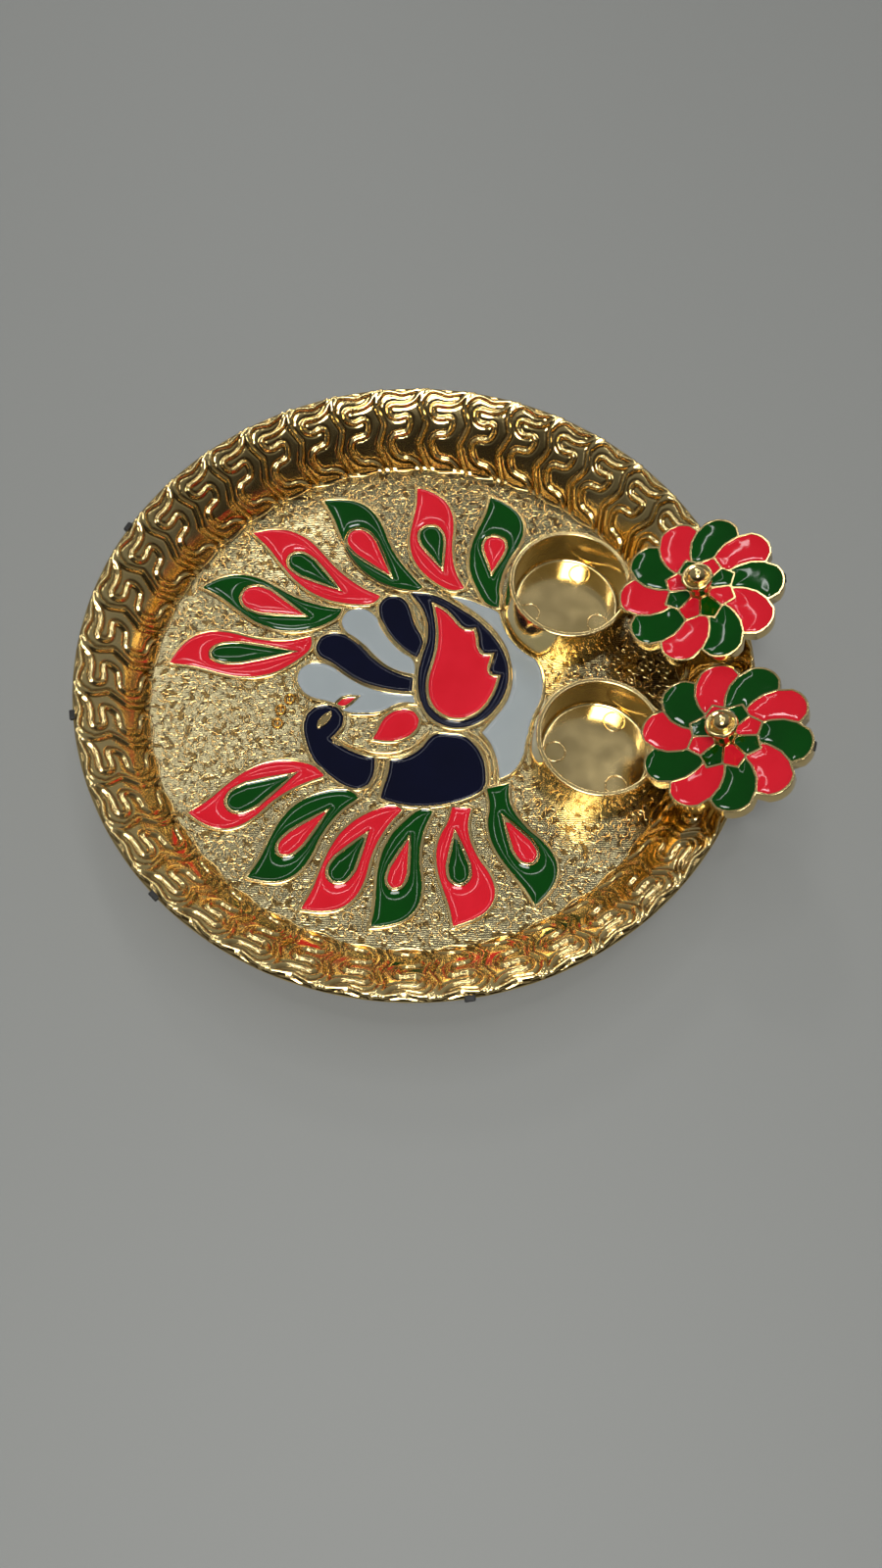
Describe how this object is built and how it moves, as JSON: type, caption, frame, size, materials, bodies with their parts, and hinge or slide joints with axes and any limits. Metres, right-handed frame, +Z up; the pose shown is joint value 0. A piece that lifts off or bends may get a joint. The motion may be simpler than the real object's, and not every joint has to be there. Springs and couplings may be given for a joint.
{
  "type": "puja thali",
  "caption": "Round gold-plated puja thali with raised peacock and feather enamel, fixed round cups and loose flower-shaped lids propped beside them",
  "frame": {"origin": "centre of the tray's flat underside", "axes": "+Z up through the tray, +X to the right in the picture towards the cups and lids, +Y away from the viewer"},
  "size_m": [0.183, 0.175, 0.0357],
  "materials": {
    "gold_plate": "moulded plastic with a polished gold plating",
    "red_enamel": "poured glossy resin enamel",
    "green_enamel": "poured glossy resin enamel",
    "blue_enamel": "poured glossy resin enamel",
    "white_enamel": "poured glossy resin enamel"
  },
  "bodies": {
    "tray": {"blue_plume_1_enamel": "blue_enamel", "blue_plume_2_enamel": "blue_enamel", "body_enamel": "blue_enamel", "crescent_enamel": "white_enamel", "crest_enamel": "red_enamel", "cup_1": "gold_plate", "cup_2": "gold_plate", "feather_10_enamel": "green_enamel", "feather_10_eye_enamel": "red_enamel", "feather_11_enamel": "red_enamel", "feather_11_eye_enamel": "green_enamel", "feather_12_enamel": "green_enamel", "feather_12_eye_enamel": "red_enamel", "feather_1_enamel": "red_enamel", "feather_1_eye_enamel": "green_enamel", "feather_2_enamel": "green_enamel", "feather_2_eye_enamel": "red_enamel", "feather_3_enamel": "red_enamel", "feather_3_eye_enamel": "green_enamel", "feather_4_enamel": "green_enamel", "feather_4_eye_enamel": "red_enamel", "feather_5_enamel": "red_enamel", "feather_5_eye_enamel": "green_enamel", "feather_6_enamel": "green_enamel", "feather_6_eye_enamel": "red_enamel", "feather_7_enamel": "red_enamel", "feather_7_eye_enamel": "green_enamel", "feather_8_enamel": "green_enamel", "feather_8_eye_enamel": "red_enamel", "feather_9_enamel": "red_enamel", "feather_9_eye_enamel": "green_enamel", "leaf_enamel": "red_enamel", "neck_enamel": "blue_enamel", "tray": "gold_plate", "white_plume_1_enamel": "white_enamel", "white_plume_2_enamel": "white_enamel", "wing_flame_enamel": "red_enamel", "wing_ring_enamel": "blue_enamel"},
    "lid_1": {"lid_1": "gold_plate", "lid_1_green_petals": "green_enamel", "lid_1_green_star": "green_enamel", "lid_1_knob": "gold_plate", "lid_1_red_petals": "red_enamel", "lid_1_red_star": "red_enamel"},
    "lid_2": {"lid_2": "gold_plate", "lid_2_green_petals": "green_enamel", "lid_2_green_star": "green_enamel", "lid_2_knob": "gold_plate", "lid_2_red_petals": "red_enamel", "lid_2_red_star": "red_enamel"}
  },
  "joints": [
    {"name": "lid_1_lift", "type": "slide", "parent": "tray", "child": "lid_1", "axis": [0, 0, 1], "range_m": [0, 0.06]},
    {"name": "lid_2_lift", "type": "slide", "parent": "tray", "child": "lid_2", "axis": [0, 0, 1], "range_m": [0, 0.06]}
  ]
}
